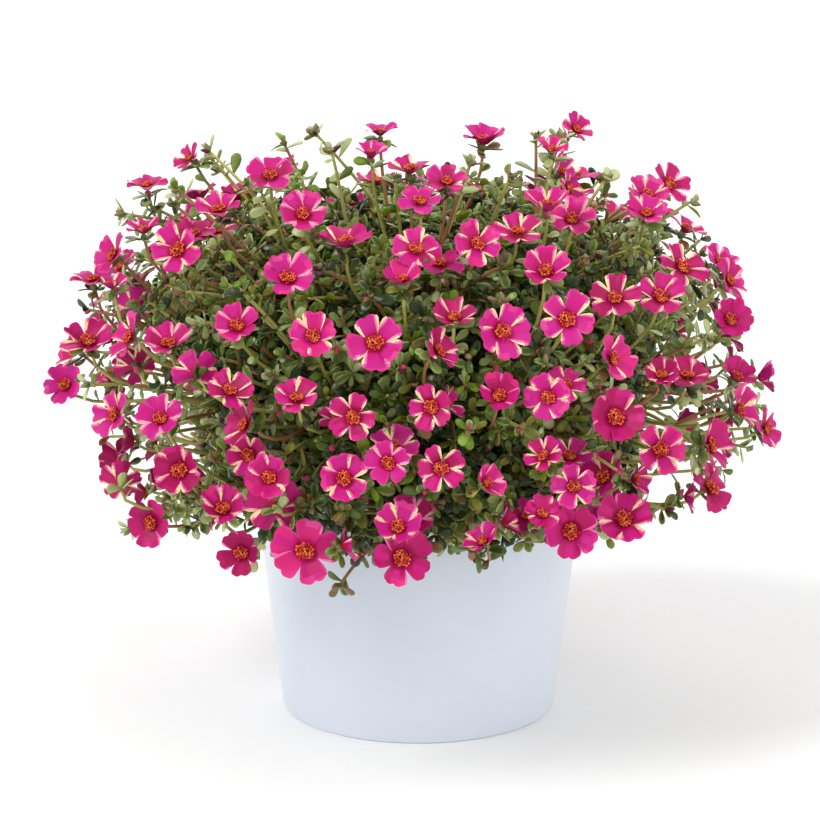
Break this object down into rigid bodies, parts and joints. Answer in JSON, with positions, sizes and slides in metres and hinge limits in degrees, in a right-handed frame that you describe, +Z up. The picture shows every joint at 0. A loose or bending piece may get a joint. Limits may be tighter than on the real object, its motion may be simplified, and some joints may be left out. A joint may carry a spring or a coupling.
{
  "type": "potted portulaca",
  "caption": "Mound of fleshy stems, small leaves and open five-petalled magenta flowers that grows from a short stem base in a plain round tapered pot filled with soil.",
  "frame": {"origin": "middle of the pot's flat underside, on the pot's axis", "axes": "+Z up along the pot's axis; the side with the best view faces -Y, with +X to its right"},
  "size_m": [0.4681, 0.4613, 0.3806],
  "materials": {
    "pot": "satin",
    "soil": "matt",
    "old_stem": "matt",
    "green_stem": "satin",
    "foliage": "satin"
  },
  "bodies": {
    "root": {"pot": "pot", "soil": "soil", "trunk": "old_stem", "bough_top": "green_stem", "bough_upper_1": "green_stem", "bough_upper_2": "green_stem", "bough_upper_3": "green_stem", "bough_upper_4": "green_stem", "bough_upper_5": "green_stem", "bough_upper_6": "green_stem", "bough_middle_1": "green_stem", "bough_middle_2": "green_stem", "bough_middle_3": "green_stem", "bough_middle_4": "green_stem", "bough_middle_5": "green_stem", "bough_middle_6": "green_stem", "bough_middle_7": "green_stem", "bough_middle_8": "green_stem", "bough_low_1": "green_stem", "bough_low_2": "green_stem", "bough_low_3": "green_stem", "bough_low_4": "green_stem", "bough_low_5": "green_stem", "bough_low_6": "green_stem", "bough_low_7": "green_stem", "bough_low_8": "green_stem", "foliage_top": "foliage", "foliage_upper_1": "foliage", "foliage_upper_2": "foliage", "foliage_upper_3": "foliage", "foliage_upper_4": "foliage", "foliage_upper_5": "foliage", "foliage_upper_6": "foliage", "foliage_middle_1": "foliage", "foliage_middle_2": "foliage", "foliage_middle_3": "foliage", "foliage_middle_4": "foliage", "foliage_middle_5": "foliage", "foliage_middle_6": "foliage", "foliage_middle_7": "foliage", "foliage_middle_8": "foliage", "foliage_low_1": "foliage", "foliage_low_2": "foliage", "foliage_low_3": "foliage", "foliage_low_4": "foliage", "foliage_low_5": "foliage", "foliage_low_6": "foliage", "foliage_low_7": "foliage", "foliage_low_8": "foliage"}
  },
  "joints": []
}
